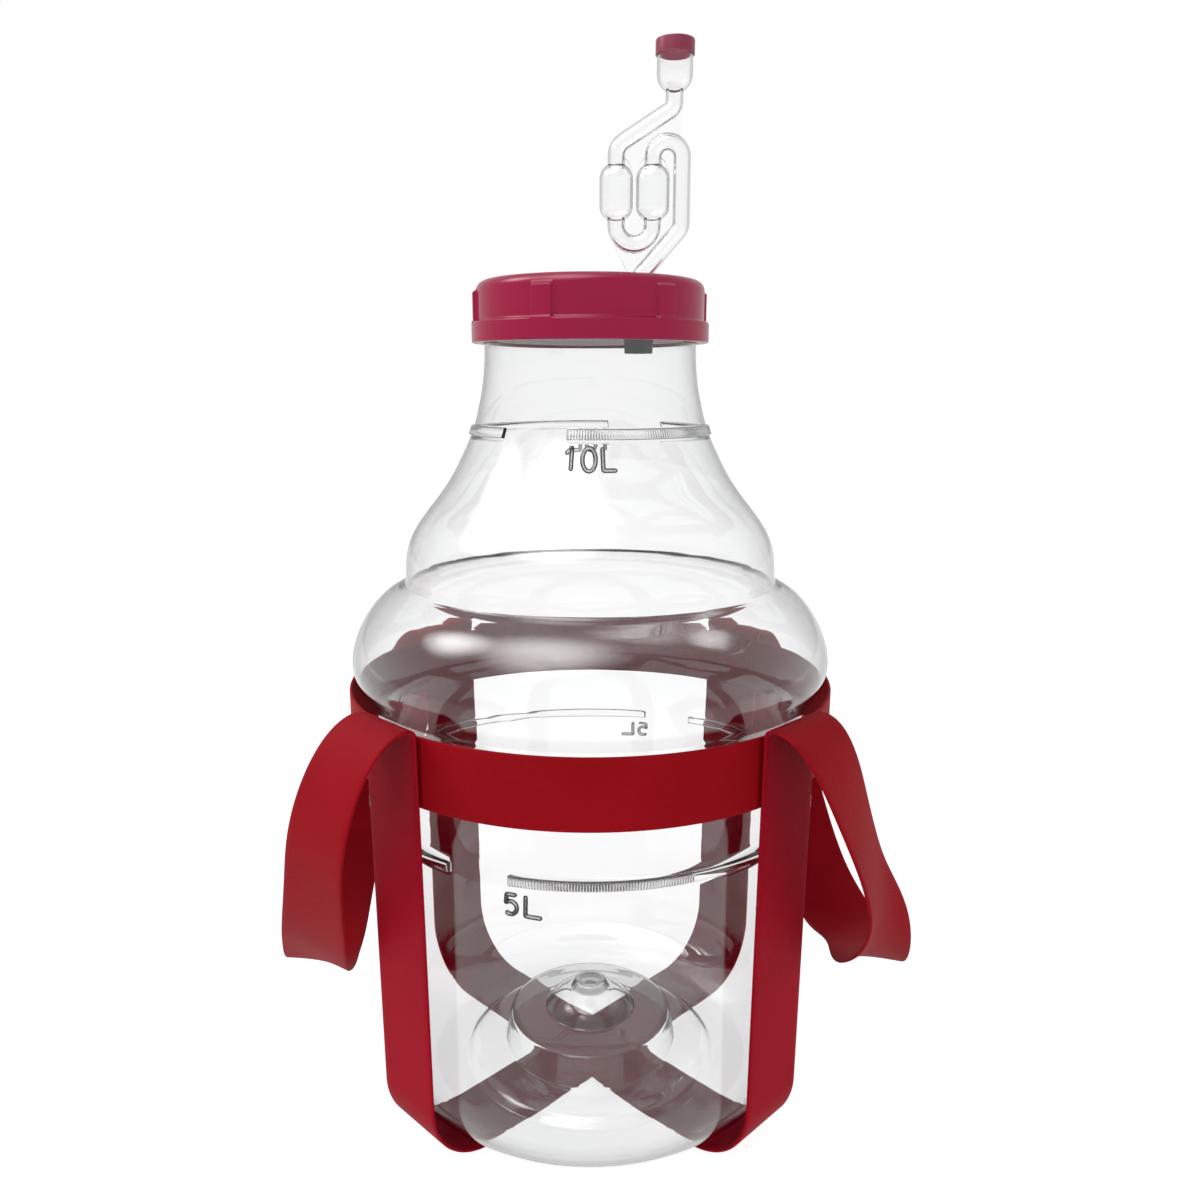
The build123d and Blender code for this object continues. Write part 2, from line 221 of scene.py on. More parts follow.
def jar_outline():
    """The jar's outer outline as (radius, height) points, from the push-up's top to the rim."""
    heel = [(74.6 + 33 * math.sin(t), 33 - 33 * math.cos(t)) for t in np.linspace(0, math.pi / 2, 30)]
    return np.concatenate([
        [(0.0, 38.5), (7.0, 38.5)],
        cubic([(9, 34.5), (15.5, 31.5), (20.5, 26.9), (22.5, 23.5)], 30),
        [(41, 22), (43.5, 6.5)],
        cubic([(43.5, 6.5), (54, 5.2), (61, 3.6), (64.6, 0)], 30),
        heel,
        cubic([(107.6, 158), (105.5, 174), (101.8, 190), (106.0, 200.8), (111.5, 210), (113.5, 217),
               (112.2, 227.2), (107.0, 238.5), (99.8, 247.2), (87.6, 254.8)], 160),
        cubic([(87.4, 262), (86.3, 270.6), (81.5, 281.2), (73.0, 292.3), (65.2, 303.3), (59.3, 314.2),
               (54.2, 326), (51.5, 335.9), (49.6, 345.5), (48.4, 358)], 120),
        [(48.4, 358.0), (48.4, RIM - FOOT)],
    ])


def ease(t):
    """0 to 1 with no slope at either end: 3 t^2 - 2 t^3 on t held to 0..1."""
    t = np.clip(t, 0, 1)
    return t * t * (3 - 2 * t)


def thread(z, a, start, low, high, proud):
    """A screw thread's height over its wall at height z and angle a in degrees.

    It is a bell along a helix that climbs PITCH a turn, faded over 3 mm at low and at high.
    """
    climb = (z - start) / PITCH - (a % 360) / 360
    near = np.abs(climb - np.round(climb)) * PITCH
    return proud * np.exp(-(near / 0.95) ** 2) * ease((z - low) / 3) * ease((high - z) / 3)


def rib(z, a, level, first, sweep):
    """How far a level rib stands out at height z and angle a (degrees from -Y).

    It is a flat bead with eased edges, from first over sweep degrees and again half a turn round.
    """
    across = (RIB_HEIGHT / 2 + 0.2 - np.abs(z - level)) / 0.4
    turn = (a - first) % 180
    along = np.minimum(turn, sweep - turn) / 0.55 + 0.5
    return RIB_PROUD * ease(across) * ease(along)


def make_jar(plastic):
    """The blown jar: outer outline, rim, and the same outline one wall further in, turned about Z.

    r(s, a) = outline(s) + ribs(z, a) + thread(z, a); the inner wall is the outline less WALL along
    its own normal.
    """
    outer = softened(even(jar_outline(), 0.25), 0.9)
    outer[0, 0] = 0
    run = unit(np.gradient(outer, axis=0))
    inner = softened(outer + WALL * np.stack([-run[:, 1], run[:, 0]], axis=1), 0.5)
    inner[0, 0] = 0
    inner[:, 0] = np.maximum(inner[:, 0], 0)
    outer_pick = gathered(outer, 175)
    inner_pick = gathered(inner, 120)
    # rows are added where a rib, a rib's edge or the thread needs them
    extra = np.concatenate([level + RIB_ROWS for level, _, _ in RIBS] + [np.arange(366.0, 383.5, 0.7)])
    wall = outer[outer[:, 1] > 30]
    add = np.stack([np.interp(extra, wall[:, 1], wall[:, 0]), extra], axis=1)
    high = np.concatenate([outer_pick[outer_pick[:, 1] > BASE_HIGH], add])
    outer_pick = np.concatenate([outer_pick[outer_pick[:, 1] <= BASE_HIGH], high[np.argsort(high[:, 1])]])
    # the rim: half an ellipse from wall to wall
    lip_out, lip_in = outer_pick[-1], inner_pick[-1]
    t = np.linspace(0, math.pi, 7)[1:-1]
    middle, half = (lip_out + lip_in) / 2, (lip_out[0] - lip_in[0]) / 2
    rise = half * 0.6
    lip = np.stack([middle[0] + half * np.cos(t), middle[1] + rise * np.sin(t) - rise], axis=1)
    outer_pick[-1, 1] -= rise
    inner_pick[-1, 1] = outer_pick[-1, 1]
    profile = np.concatenate([outer_pick, lip, inner_pick[::-1]])
    # columns every 1.5 degrees, and finer at the ribs' ends
    ends = np.array([(first, first + sweep - 180) for _, first, sweep in RIBS]).ravel()
    ends = np.concatenate([ends, ends + 180]) - 90
    fine = (ends[:, None] + np.array([-0.5, -0.25, 0, 0.25, 0.5])).ravel()
    angles = np.concatenate([np.radians(np.arange(0, 360, 1.5)), np.radians(fine) % (2 * math.pi)])
    angles = np.unique(np.round(angles, 5))
    radius, z = profile[:, :1], profile[:, 1:]
    a = np.degrees(angles)[None, :] + 90
    stand = rib(z, a, *RIBS[0]) + rib(z, a, *RIBS[1]) + thread(z, a, 368.5, 367.5, 382.5, 0.85)
    has_relief = (np.arange(len(profile)) < len(outer_pick))[:, None] & (z > BASE_HIGH)
    return turned("vessel_wall", np.where(has_relief, radius + stand, radius), z + FOOT, angles, plastic)


BEAD = 1.0           # radius of the marks' strokes
# level, middle angle in degrees from -Y, wall's radius there, and the strokes, each a line of
# (mm along the wall from the mark's middle, mm up from its foot)
MARKS = {
    "5L": (133.4, -14.6, 107.6, [
        [(-2.6, 9.7), (-7.2, 9.7), (-7.6, 5.9), (-6.3, 6.7), (-4.6, 6.7), (-3.2, 5.5), (-2.8, 3.8),
         (-3.3, 2.1), (-4.6, 1.1), (-6.3, 1.0), (-7.8, 2.2)],
        [(1.0, 10.2), (0.8, 1.0), (8.0, 0.6)],
    ]),
    "10L": (309.9, 0.0, 60.0, [
        [(-10.8, 7.6), (-8.7, 9.4), (-8.0, 10.6), (-8.0, 0.9)],
        [(-3.6 * math.sin(t) * 0.78 - 0.5, 5.5 - 4.6 * math.cos(t)) for t in np.linspace(0, 2 * math.pi, 29)],
        [(5.4, 10.6), (5.4, 1.1), (11.3, 1.1)],
    ]),
}


def make_marks(name, level, middle, radius, strokes, plastic):
    """A raised level mark, on the wall at middle and again on the other side.

    Each stroke is a half-sunk bead: p(s, t) = wall(s) + BEAD (cos t across(s) + sin t out(s)),
    drawn in to a point over its last 0.8 mm.
    """
    outer = jar_outline()
    outer = outer[outer[:, 1] > BASE_HIGH]
    lean = np.gradient(outer[:, 0], outer[:, 1])
    turns = np.radians(np.arange(0, 360, 30))[None, :, None]
    points, faces = [], []
    for stroke in strokes:
        loop = math.dist(stroke[0], stroke[-1]) < 1e-6
        line = even(stroke, 0.3)
        if not loop:
            line = softened(line, 0.35)
        for half_turn in (0, 180):
            a = np.radians(middle + half_turn) + line[:, 0] / radius
            z = level + line[:, 1]
            r = np.interp(z, outer[:, 1], outer[:, 0])
            slope = np.interp(z, outer[:, 1], lean)
            wall = np.stack([r * np.sin(a), -r * np.cos(a), z + FOOT], axis=1)
            out = unit(np.stack([np.sin(a), -np.cos(a), -slope], axis=1))
            across = unit(np.cross(out, unit(np.gradient(wall, axis=0))))
            at = np.concatenate([[0], np.cumsum(np.linalg.norm(np.diff(wall, axis=0), axis=1))])
            end = np.ones(len(at)) if loop else np.sqrt(np.clip(np.minimum(at, at[-1] - at) / 0.8, 0.001, 1))
            size = BEAD * end[:, None, None]
            bead = wall[:, None] + size * np.cos(turns) * across[:, None] + size * np.sin(turns) * out[:, None]
            if loop:
                bead = bead[:-1]
            rows, cols = bead.shape[:2]
            base = sum(len(x) for x in points)
            faces += (grid_faces(rows, cols, loop, True) + base).tolist()
            if not loop:
                faces.append([base + i for i in range(cols - 1, -1, -1)])
                faces.append([base + (rows - 1) * cols + i for i in range(cols)])
            points.append(bead.reshape(-1, 3))
    return mesh_piece(name, np.concatenate(points), faces, plastic)


# Lid and seal

SKIRT, COLLAR, LID_BORE, PLATE = 51.8, 54.1, 49.6, 27.0  # three radii, and the plate's top over the lid's foot
LUG_AT, LUG_STEP = -112.5, 60   # the first lug's angle, and the next one's from it
LUG_HALF, LUG_PROUD = 5.2, 1.7


def make_lid(plastic):
    """The screw lid: one closed outline turned about Z, whose rows slide over to the bung's hole on the top.

    r(row, a) = outline(row) + lugs(z, a) - thread(z, a), and a row's centre goes from 0 at the rim to
    BUNG_AT at the hole, on the top face and again under the plate.
    """
    def corner(r, z, size, t0, t1, n):
        return [(r + size * math.cos(t), z + size * math.sin(t), 0.0) for t in np.radians(np.linspace(t0, t1, n))]

    # (radius, height over the lid's foot, centre): collar, skirt, top, hole, underside, bore
    line = [(49.9, 0.0, 0.0), (51.8, 0.0, 0.0)]
    line += corner(53.4, 0.7, 0.7, -90, 0, 5)
    line += [(COLLAR, z, 0.0) for z in (3.0, 5.5, 7.6)]
    line += corner(53.2, 8.1, 0.9, 0, 90, 7)
    line += [(r, z, 0.0) for r, z in ((52.9, 9.0), (52.4, 9.1), (52.0, 9.4), (51.8, 9.9))]
    line += [(SKIRT, z, 0.0) for z in (*np.arange(10.6, 20.0, 1.1), *np.arange(20.0, 22.5, 0.3))]
    line += corner(47.3, 22.5, 4.5, 0, 90, 15)
    line += [(47.3 + (8.9 - 47.3) * t, PLATE, BUNG_AT * t) for t in np.linspace(0, 1, 14)[1:]]
    line += [(r, z, BUNG_AT) for r, z in ((8.6, 26.97), (8.35, 26.8), (8.24, 26.5), (7.62, 15.9), (7.8, 15.6),
                                          (9.9, 15.6), (10.2, 15.9), (10.2, 24.1), (10.5, 24.6))]
    line += [(10.5 + (49.1 - 10.5) * t, 24.6, BUNG_AT * (1 - t)) for t in np.linspace(0, 1, 10)[1:]]
    line += [(49.5, 24.4, 0.0), (LID_BORE, 24.0, 0.0)]
    line += [(LID_BORE, z, 0.0) for z in np.arange(20.0, 0.8, -0.6)]
    line += [(49.65, 0.25, 0.0)]
    r, z, centre = (x[:, None] for x in np.asarray(line).T)
    # columns every 2 degrees, and finer at the lugs' sides
    side = np.arange(4.2, 7.2, 0.3)
    sides = (LUG_AT + LUG_STEP * np.arange(6)[:, None] + np.concatenate([-side, side])).ravel()
    angles = np.unique(np.round(np.radians(np.concatenate([np.arange(0, 360, 2.0), sides % 360])), 5))
    a = np.degrees(angles)[None, :]
    off = np.abs((a - LUG_AT + LUG_STEP / 2) % LUG_STEP - LUG_STEP / 2) * math.radians(1) * SKIRT
    wall = (r > 47) & (z > 8) & (np.arange(len(r))[:, None] < 60)
    lug = LUG_PROUD * ease((LUG_HALF - off) / 1.2) * ease((23.4 - z) / 1.7) * wall
    bore = (np.abs(r - LID_BORE) < 0.06) & (z < 20.5)
    r = r + lug - thread(z, a, 3.0, 1.6, 19.0, 0.8) * bore
    r = np.where(wall, np.minimum(r, COLLAR), r)
    return turned("lid_shell", r, z + LID_LOW, angles, plastic, centre)


def make_seal(rubber):
    """The flat seal on the jar's rim, narrow enough that the lid's thread clears it: a ring turned about Z.

    Its section is a rectangle with corners of radius edge: corner centre + edge (cos t, sin t).
    """
    low, high, small, big, edge = RIM + 0.1, RIM + 1.4, 47.1, 48.6, 0.35
    turns = np.radians(np.arange(0, 360, 15))
    r = np.clip((small + big) / 2 + 1.2 * np.cos(turns), small + edge, big - edge) + edge * np.cos(turns)
    z = np.clip((low + high) / 2 + 1.2 * np.sin(turns), low + edge, high - edge) + edge * np.sin(turns)
    return turned("rim_seal_ring", r[:, None], z[:, None], np.radians(np.arange(0, 360, 2.0)), rubber)


# Airlock, in its own XZ plane with x from the bung's axis and z from the lid's top

TUBE, TUBE_BORE = 3.85, 2.7
BULBS, BULB_LOW, BULB_HIGH = (5.7, -10.6), 26.2, 50.4
CUP_AT, CUP_LOW = 14.7, 79.6


def rounded_end(h, size, share):
    """A rounded cylinder's radius at height h over its end: size - r + sqrt(r^2 - (r - h)^2), r = share size."""
    r = share * size
    return size - r + np.sqrt(np.clip(r ** 2 - (r - np.clip(h, 0, r)) ** 2, 0, None))


def lock_line():
    """The airlock's centre line: stem, leg, return, trap and slant up to the cup's rim, in steps of 0.05."""
    def arc(x, z, r, t0, t1):
        t = np.radians(np.linspace(t0, t1, 120))
        return np.stack([x + r * np.cos(t), z + r * np.sin(t)], axis=1)

    stem = rounded_route([(0, -26), (0, 2.4), (18.5, 23.4), (18.5, 53)], [4.6, 6.5], 0.2)
    rise = rounded_route([(-10.6, 24.6), (-10.6, 57.5), (14.7, 73.3), (14.7, 99.6)], [7.0, 4.6], 0.2)
    line = [stem, arc(12.1, 53, 6.4, 0, 180)[1:], arc(-2.45, 24.6, 8.15, 0, -180), rise[1:]]
    return even(np.concatenate(line), 0.05)


def lock_radius(line, wall):
    """The tube's radius along its line, widened at the bulbs and the cup; wall is taken off for the bore."""
    x, z = line.T
    low = TUBE if wall == 0 else TUBE_BORE
    radius = np.full(len(line), low)
    for at in BULBS:
        here = (np.abs(x - at) < 0.02) & (z > BULB_LOW + wall) & (z < BULB_HIGH - wall)
        h = np.minimum(z - BULB_LOW - wall, BULB_HIGH - wall - z)
        radius = np.where(here, np.maximum(low, rounded_end(h, 7.45 - wall, 0.86)), radius)
    here = (np.abs(x - CUP_AT) < 0.02) & (z > CUP_LOW + wall)
    return np.where(here, np.maximum(low, rounded_end(z - CUP_LOW - wall, 7.85 - wall, 0.9)), radius)


def make_lock(plastic):
    """The airlock's tube, up the outside and back down the bore: p(s, t) = c(s) + r(s) (cos t n(s) - sin t y)."""
    line = lock_line()
    at = np.arange(len(line)) * np.linalg.norm(line[1] - line[0])
    run = unit(np.gradient(line, axis=0))
    # (length, radius) rows gather where the radius changes and, by the third column, where the line bends
    bend = np.cumsum(np.linalg.norm(np.gradient(run, axis=0), axis=1)) * 3.0
    outer, inner = (
        gathered(np.column_stack([softened(np.stack([at, lock_radius(line, wall)], axis=1), 0.12), bend]),
                 count, 2.5)[:, :2] for wall, count in ((0.0, 430), (1.0, 400)))
    lip = np.array([(outer[-1, 0], 7.6), (outer[-1, 0], 7.2)])
    outer[-1, 1] = 7.8
    s_r = np.concatenate([outer, lip, inner[::-1]])
    centre = np.stack([np.interp(s_r[:, 0], at, line[:, i]) for i in range(2)], axis=1)
    way = unit(np.stack([np.interp(s_r[:, 0], at, run[:, i]) for i in range(2)], axis=1))
    t = np.radians(np.arange(0, 360, 8))
    side = s_r[:, 1:] * np.cos(t)
    x = BUNG_AT + centre[:, :1] - way[:, 1:] * side
    z = LID_TOP + centre[:, 1:] + way[:, :1] * side
    y = -s_r[:, 1:] * np.sin(t)
    points = np.stack([x, y, z], axis=-1)
    faces = grid_faces(*points.shape[:2], True, True)
    return mesh_piece("airlock_tube", points.reshape(-1, 3), faces, plastic)


def make_gusset(plastic):
    """The plate between the tubes: cells of a 0.5 mm grid inside its outline and clear of the tubes.

    Points on the edge of those cells are moved down the distance field onto the true edge, and the
    plate is two such sheets 1 mm apart with a wall along their rim.
    """
    corners = np.array([(0, 3.4), (-5, 3.4), (-11.3, 15.7), (-10.6, 24.6), (-10.6, 57.5), (14.7, 73.3),
                        (18.3, 73.3), (18.3, 53), (18.5, 23.4)])
    line = lock_line()
    size = lock_radius(line, 0.0)[::8]
    line = line[::8]

    def outside(p):
        """Above 0 outside the plate, in mm: the larger of the outline's and the tubes' distances."""
        a, b = corners, np.roll(corners, -1, axis=0)
        d = b - a
        q = p[:, None] - a
        t = np.clip((q * d).sum(-1) / (d * d).sum(-1), 0, 1)
        edge = np.linalg.norm(q - t[..., None] * d, axis=-1).min(axis=1)
        above = (a[:, 1] > p[:, None, 1]) != (b[:, 1] > p[:, None, 1])
        cross = a[:, 0] + (p[:, None, 1] - a[:, 1]) * d[:, 0] / np.where(d[:, 1] == 0, 1, d[:, 1])
        inside = (above & (p[:, None, 0] < cross)).sum(axis=1) % 2 == 1
        tubes = (size - 0.1 - np.linalg.norm(p[:, None] - line, axis=-1)).max(axis=1)
        return np.maximum(np.where(inside, -edge, edge), tubes)

    xs, zs = np.arange(-12.5, 20.0, 0.5), np.arange(2.0, 75.0, 0.5)
    grid = np.stack(np.meshgrid(xs, zs, indexing="ij"), axis=-1)
    nx, nz = grid.shape[:2]
    flat = grid.reshape(-1, 2)
    middle = (grid[:-1, :-1] + grid[1:, 1:]).reshape(-1, 2) / 2
    quads = grid_faces(nx, nz)[outside(middle) < 0]
    edges = np.concatenate([quads[:, [i, (i + 1) % 4]] for i in range(4)])
    both = {tuple(e) for e in edges.tolist()}
    rim = np.array([e for e in edges.tolist() if (e[1], e[0]) not in both])
    on_rim = np.unique(rim)
    p = flat[on_rim]
    for _ in range(4):
        f = outside(p)
        dx = (outside(p + [0.01, 0]) - f) / 0.01
        dz = (outside(p + [0, 0.01]) - f) / 0.01
        slope = np.stack([dx, dz], axis=1)
        p = p - 0.7 * f[:, None] * slope / np.maximum((slope ** 2).sum(axis=1, keepdims=True), 0.5)
    flat[on_rim] = p
    used, index = np.unique(quads, return_inverse=True)
    quads = index.reshape(quads.shape)
    place = {k: i for i, k in enumerate(used.tolist())}
    rim = np.array([[place[a], place[b]] for a, b in rim.tolist()])
    n = len(used)
    xz = flat[used]
    points = np.concatenate([
        np.stack([BUNG_AT + xz[:, 0], np.full(n, y), LID_TOP + xz[:, 1]], axis=1) for y in (-0.5, 0.5)])
    wall = np.stack([rim[:, 1], rim[:, 0], rim[:, 0] + n, rim[:, 1] + n], axis=1)
    faces = quads[:, ::-1].tolist() + (quads + n).tolist() + wall[:, ::-1].tolist()
    return mesh_piece("airlock_gusset", points, faces, plastic)

# Webbing

def web_section(width, thick):
    """A webbing's section, (across, out) points counterclockwise, with round edges."""
    r = thick / 2
    flat = np.linspace(-(width / 2 - r), width / 2 - r, 13)
    arc = np.radians(np.linspace(-90, 90, 7)[1:-1])
    right = np.stack([width / 2 - r + r * np.cos(arc), r * np.sin(arc)], axis=1)
    low = np.stack([flat, np.full_like(flat, -r)], axis=1)
    high = np.stack([flat[::-1], np.full_like(flat, r)], axis=1)
    left = right * [-1, -1]
    return np.concatenate([low, right, high, left])


def webbing(name, middle, across, cloth, width, closed=False):
    """Webbing carried along a line: p(s, q) = middle(s) + x(q) across(s) + y(q) out(s).

    out is run x across, squared up.
    """
    middle = np.asarray(middle, float)
    if closed:
        run = unit(np.roll(middle, -1, axis=0) - np.roll(middle, 1, axis=0))
    else:
        run = unit(np.gradient(middle, axis=0))
    across = unit(across - (across * run).sum(axis=1, keepdims=True) * run)
    out = np.cross(run, across)
    section = web_section(width, WEB)
    points = middle[:, None] + section[None, :, :1] * across[:, None] + section[None, :, 1:] * out[:, None]
    rows, cols = points.shape[:2]
    size = np.linalg.norm(np.diff(middle, axis=0), axis=1)
    along = np.concatenate([[0], np.cumsum(size)])
    side = np.concatenate([[0], np.cumsum(np.linalg.norm(np.diff(section, axis=0), axis=1))])
    uv = np.stack(np.broadcast_arrays(side[None, :], along[:, None]), axis=-1)
    faces = grid_faces(rows, cols, closed, True).tolist()
    if not closed:
        # each cut end is closed by quads across the section
        half = cols // 2
        for base, flip in ((0, True), ((rows - 1) * cols, False)):
            for i in range(half - 1):
                quad = [base + i, base + i + 1, base + cols - 2 - i, base + cols - 1 - i]
                faces.append(quad[::-1] if flip else quad)
    return mesh_piece(name, points.reshape(-1, 3), faces, cloth, uv.reshape(-1, 2))


def make_belt(cloth):
    """The belt: webbing on a circle round the waist, width upright, eased in a little between the straps."""
    a = np.radians(np.arange(0, 360, 1.5))
    r = 114.85 - 0.12 * (0.5 + 0.5 * np.cos(4 * a))
    middle = np.stack([r * np.cos(a), r * np.sin(a), np.full_like(a, 192.8)], axis=1)
    up = np.zeros_like(middle)
    up[:, 2] = 1
    return webbing("belt_web", middle, up, cloth, BELT, closed=True)


def make_strap(name, angle, lift, cloth):
    """A strap from fold to fold under the foot: a rounded route in its own upright plane, turned about Z.

    With lift, it rises by that much in its middle, over the other strap.
    """
    low = WEB / 2
    half = [(FOLD_REACH, FOLD_TOP), (116.95, FOLD_TOP), (114.55, low)]
    radii = [3.0, 34.0]
    if lift:
        half += [(35.5, low), (19.5, low + lift)]
        radii += [12.0, 12.0]
    other = [(-x, z) for x, z in reversed(half)]
    route = rounded_route(half + other, radii + radii[::-1], 1.0)
    c, s = math.cos(math.radians(angle)), math.sin(math.radians(angle))
    middle = np.stack([route[:, 0] * c, route[:, 0] * s, route[:, 1]], axis=1)
    across = np.tile([-s, c, 0.0], (len(middle), 1))
    return webbing(name, middle, across, cloth, STRAP)


# The handles hang up to this far out from their roots and down from the folds
HANDLE_OUT, HANDLE_DROP = 56.0, 157.5
# Rows from fold to fold: the middle's place out, along and down, as shares of HANDLE_OUT, the folds'
# half span and HANDLE_DROP, and then the way across the webbing as x, y, z
LEFT_STATIONS = [
    (0.000, -1.000, 0.000, 0.71, 0.71, 0.00),
    (0.388, -1.199, 0.197, 0.72, 0.67, 0.17),
    (0.547, -1.077, 0.464, 0.80, 0.53, 0.27),
    (0.695, -0.792, 0.694, 0.87, 0.35, 0.35),
    (0.854, -0.404, 0.875, 0.95, 0.18, 0.24),
    (0.977, 0.053, 1.001, 1.00, -0.08, 0.05),
    (0.989, 0.546, 0.924, 0.84, -0.34, 0.42),
    (0.837, 0.880, 0.717, 0.64, -0.60, 0.48),
    (0.578, 1.059, 0.468, 0.72, -0.60, 0.36),
    (0.400, 1.173, 0.201, 0.77, -0.58, 0.28),
    (0.000, 1.000, 0.000, 0.71, -0.71, 0.00),
]
RIGHT_STATIONS = [
    (0.000, -1.000, 0.000, 0.71, 0.71, 0.00),
    (0.395, -1.124, 0.216, 0.52, 0.86, 0.00),
    (0.645, -1.058, 0.479, 0.46, 0.88, 0.10),
    (0.778, -0.776, 0.710, 0.90, 0.43, 0.09),
    (0.901, -0.365, 0.879, 0.97, 0.12, -0.21),
    (0.994, 0.126, 0.967, 1.00, 0.03, -0.01),
    (0.884, 0.633, 0.950, 0.90, -0.11, 0.42),
    (0.682, 0.948, 0.741, 0.90, -0.19, 0.38),
    (0.527, 1.141, 0.485, 0.82, -0.47, 0.31),
    (0.357, 1.180, 0.212, 0.71, -0.68, 0.18),
    (0.000, 1.000, 0.000, 0.71, -0.71, 0.00),
]


def make_handle(name, side, stations, cloth):
    """A hanging handle: the webbing between two edge splines, each half a width from the stations' middle.

    side is -1 on the left and 1 on the right. The edges' points pair up by share of their length.
    """
    span = FOLD_REACH * math.sin(math.radians(45))
    root = span + 0.3 / math.cos(math.radians(45))
    s = np.asarray(stations)
    middle = np.stack([side * (root + HANDLE_OUT * s[:, 0]), span * s[:, 1], FOLD_TOP - HANDLE_DROP * s[:, 2]],
                      axis=1)
    across = unit(s[:, 3:] * [side, 1, 1]) * STRAP / 2
    ends = (unit(np.array([side, -1.0, 0.0])), unit(np.array([-side, -1.0, 0.0])))
    inner = cubic(middle - across, 300, ends)
    outer = cubic(middle + across, 300, ends)
    return webbing(name, (inner + outer) / 2, (outer - inner) * side, cloth, STRAP)


# Materials

def rgba(r, g, b):
    return (r, g, b, 1.0)


def grey(level):
    return (level, level, level, 1.0)


class Nodes:
    """A node tree under construction: each method adds a node and gives it or its output."""

    def __init__(self, tree):
        self.tree = tree

    def set(self, socket, value):
        """The socket linked to value, or set to it where it is a number or a colour."""
        if isinstance(value, bpy.types.NodeSocket):
            self.tree.links.new(value, socket)
        else:
            socket.default_value = value

    def node(self, kind, **values):
        """A node with its properties, and else its inputs, set by name."""
        made = self.tree.nodes.new("ShaderNode" + kind)
        for key, value in values.items():
            if hasattr(made, key):
                setattr(made, key, value)
            else:
                self.set(made.inputs[key.replace("_", " ")], value)
        return made

    def math(self, operation, *values, clamp=False):
        made = self.node("Math", operation=operation, use_clamp=clamp)
        for socket, value in zip(made.inputs, values):
            self.set(socket, value)
        return made.outputs["Value"]

    def vector(self, operation, *values):
        made = self.node("VectorMath", operation=operation)
        for socket, value in zip(made.inputs, values):
            self.set(socket, value)
        return made.outputs["Vector" if operation == "NORMALIZE" else "Value"]

    def split(self, vector):
        made = self.node("SeparateXYZ", Vector=vector)
        return made.outputs["X"], made.outputs["Y"], made.outputs["Z"]

    def noise(self, vector, scale, detail=3.0):
        return self.node("TexNoise", Vector=vector, Scale=scale, Detail=detail, Roughness=0.5).outputs["Fac"]

    def ramp(self, value, stops):
        made = self.node("ValToRGB")
        self.set(made.inputs["Fac"], value)
        first, last = made.color_ramp.elements
        first.position, first.color = stops[0]
        last.position, last.color = stops[-1]
        for position, colour in stops[1:-1]:
            made.color_ramp.elements.new(position).color = colour
        return made.outputs["Color"]

    def mix(self, factor, a, b, blend="MULTIPLY"):
        made = self.node("Mix", data_type="RGBA", blend_type=blend)
        for socket, value in (("Factor", factor), ("A", a), ("B", b)):
            self.set(made.inputs[socket], value)
        return made.outputs["Result"]

    def range(self, value, low, high):
        return self.node("MapRange", Value=value, To_Min=low, To_Max=high).outputs["Result"]

    def bump(self, height, distance, strength=1.0):
        return self.node("Bump", Height=height, Distance=distance, Strength=strength).outputs["Normal"]


class Material(Nodes):
    """A material under construction, with its shader and its output."""

    def __init__(self, name):
        self.mat = bpy.data.materials.new(name)
        self.mat.use_nodes = True
        super().__init__(self.mat.node_tree)
        self.shader = self.tree.nodes["Principled BSDF"]
        self.out = self.tree.nodes["Material Output"]
        self.place = self.node("TexCoord").outputs["Object"]

    def done(self, **values):
        """The material, with the shader's sockets set or linked by name."""
        for key, value in values.items():
            self.set(self.shader.inputs[key.replace("_", " ")], value)
        return self.mat


RIDGE = 1.2          # the ridges on the level ribs are this far apart
# level over the floor, radius, first and last angle from -Y of the ridged stretch, painted shade striped along
# its ridges
RIDGED = ((150.6, 109.0, -18.0, 23.0, 0.45), (326.9, 55.5, -10.0, 75.0, 0.82))
# The push-up's top, which gets painted shade where it is steep:
NUB_REACH, NUB_LOW, NUB_TOP = 0.0235, 0.0236, 0.0415  # the push-up's thick top, in metres


